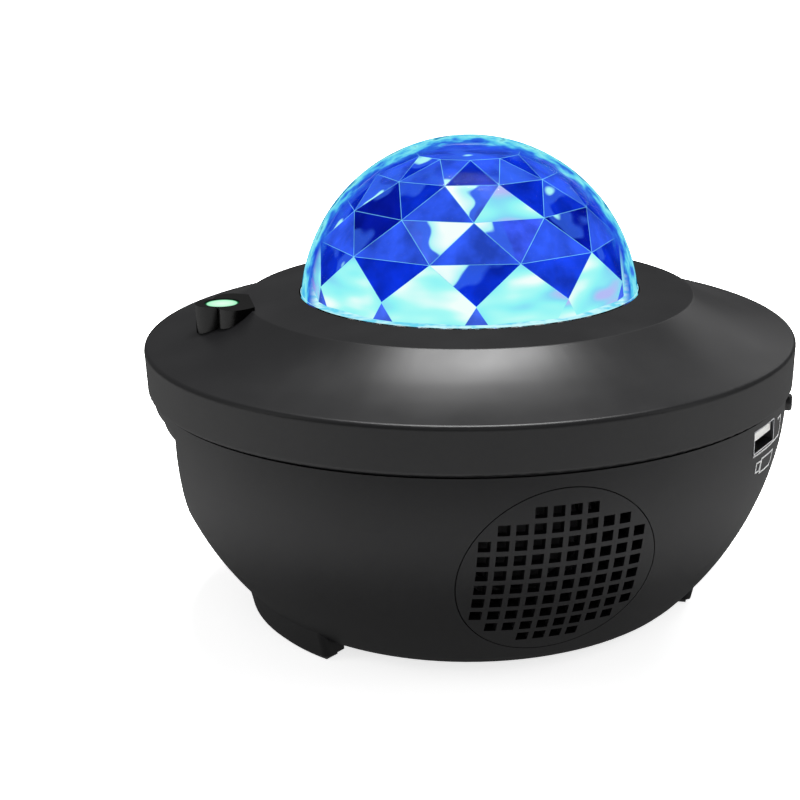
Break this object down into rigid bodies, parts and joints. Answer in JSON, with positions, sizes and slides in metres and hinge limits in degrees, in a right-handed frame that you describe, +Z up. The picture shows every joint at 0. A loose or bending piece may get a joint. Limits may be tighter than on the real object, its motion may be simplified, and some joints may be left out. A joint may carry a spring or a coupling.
{
  "type": "star night light projector",
  "caption": "Bowl-shaped night light projector with a faceted glowing dome, laser window, loudspeaker grille, USB port and buttons.",
  "frame": {"origin": "on the floor, at the centre of the round body", "axes": "+Z up; -Y the front that faces the viewer; +X towards the side with the buttons"},
  "size_m": [0.165, 0.165, 0.1205],
  "materials": {
    "aluminium": "extruded, natural",
    "board": "green solder mask on glass-epoxy board",
    "brass": "machined",
    "button": "black moulded cap",
    "capacitor": "sleeved aluminium can",
    "chip": "black epoxy",
    "clear_lens": "clear acrylic",
    "cone": "pressed paper pulp",
    "connector": "light grey nylon",
    "cover": "satin to semi-gloss black moulded ABS",
    "dome": "clear faceted acrylic lit blue and cyan",
    "emitter": "LED package with domed encapsulant",
    "ferrite": "sintered ferrite",
    "foam": "closed-cell foam",
    "gear_plastic": "natural white acetal",
    "hood": "glossy black",
    "housing": "satin black moulded ABS",
    "inner_plastic": "black moulded ABS, matt",
    "laser_glass": "clear window lit green from below",
    "motor": "plated can and brass-coloured gearbox",
    "pad": "matt black rubber",
    "port_steel": "bright nickel plated steel",
    "pressed_steel": "black passivated pressing",
    "rubber": "matt rubber",
    "shield": "tinned shield can",
    "steel": "zinc plated"
  },
  "bodies": {
    "housing": {"board_connectors": "connector", "capacitors": "capacitor", "control_board": "board", "control_board_screws": "steel", "dome_lens": "dome", "dome_retainer": "inner_plastic", "frame_screws": "steel", "gear_motor": "motor", "grating_axle": "steel", "heatsink_screws": "steel", "housing_screws": "steel", "infrared_receiver": "chip", "laser_hood": "hood", "laser_module": "brass", "laser_mount": "aluminium", "laser_mount_screws": "steel", "laser_window": "laser_glass", "led_board": "board", "led_emitters": "emitter", "led_heatsink": "aluminium", "led_lens": "clear_lens", "left_foot_pad": "pad", "lower_housing": "housing", "main_board": "board", "main_board_screws": "steel", "motor_screws": "steel", "optics_frame": "inner_plastic", "power_inlet": "chip", "processor_chips": "chip", "radio_module": "shield", "retainer_screws": "steel", "right_foot_pad": "pad", "speaker_basket": "pressed_steel", "speaker_gasket": "foam", "speaker_grille": "housing", "speaker_magnet": "ferrite", "speaker_screws": "steel", "speaker_surround": "rubber", "speaker_yoke": "pressed_steel", "tact_switches": "chip", "upper_cover": "cover", "usb_contacts": "brass", "usb_insulator": "connector", "usb_port": "port_steel"},
    "ripple_disc": {"ripple_gear": "gear_plastic", "ripple_lens": "clear_lens"},
    "pinion": {"drive_pinion": "gear_plastic", "motor_shaft": "steel"},
    "grating": {"grating_wheel": "gear_plastic", "grating_film": "clear_lens"},
    "cone": {"speaker_cone": "cone"},
    "power_key": {"power_button": "button"},
    "laser_key": {"laser_button": "button"},
    "volume_down_key": {"volume_down_button": "button"},
    "volume_up_key": {"volume_up_button": "button"}
  },
  "joints": [
    {"name": "ripple_disc_spin", "type": "hinge", "parent": "housing", "child": "ripple_disc", "pos_m": [0, 0, 0.063], "axis": [0, 0, 1], "continuous": true},
    {"name": "pinion_spin", "type": "hinge", "parent": "housing", "child": "pinion", "pos_m": [0.0204, 0.03533, 0.063], "axis": [0, 0, 1], "continuous": true},
    {"name": "grating_spin", "type": "hinge", "parent": "housing", "child": "grating", "pos_m": [-0.04901, -0.01177, 0.063], "axis": [0, 0, 1], "continuous": true},
    {"name": "cone_stroke", "type": "slide", "parent": "housing", "child": "cone", "axis": [0.2588, -0.9659, 0], "range_m": [-0.0008, 0.0008], "stiffness_N_per_m": 800},
    {"name": "power_press", "type": "slide", "parent": "housing", "child": "power_key", "axis": [-0.9877, 0.1564, 0], "range_m": [0, 0.0005], "stiffness_N_per_m": 600, "springref_m": -0.0005},
    {"name": "laser_press", "type": "slide", "parent": "housing", "child": "laser_key", "axis": [-0.9976, -0.0698, 0], "range_m": [0, 0.0005], "stiffness_N_per_m": 600, "springref_m": -0.0005},
    {"name": "volume_down_press", "type": "slide", "parent": "housing", "child": "volume_down_key", "axis": [-0.9563, -0.2924, 0], "range_m": [0, 0.0005], "stiffness_N_per_m": 600, "springref_m": -0.0005},
    {"name": "volume_up_press", "type": "slide", "parent": "housing", "child": "volume_up_key", "axis": [-0.866, -0.5, 0], "range_m": [0, 0.0005], "stiffness_N_per_m": 600, "springref_m": -0.0005}
  ],
  "couplings": [
    {"joint": "pinion_spin", "follows": "ripple_disc_spin", "ratio": -7.5},
    {"joint": "grating_spin", "follows": "ripple_disc_spin", "ratio": -2.5}
  ]
}
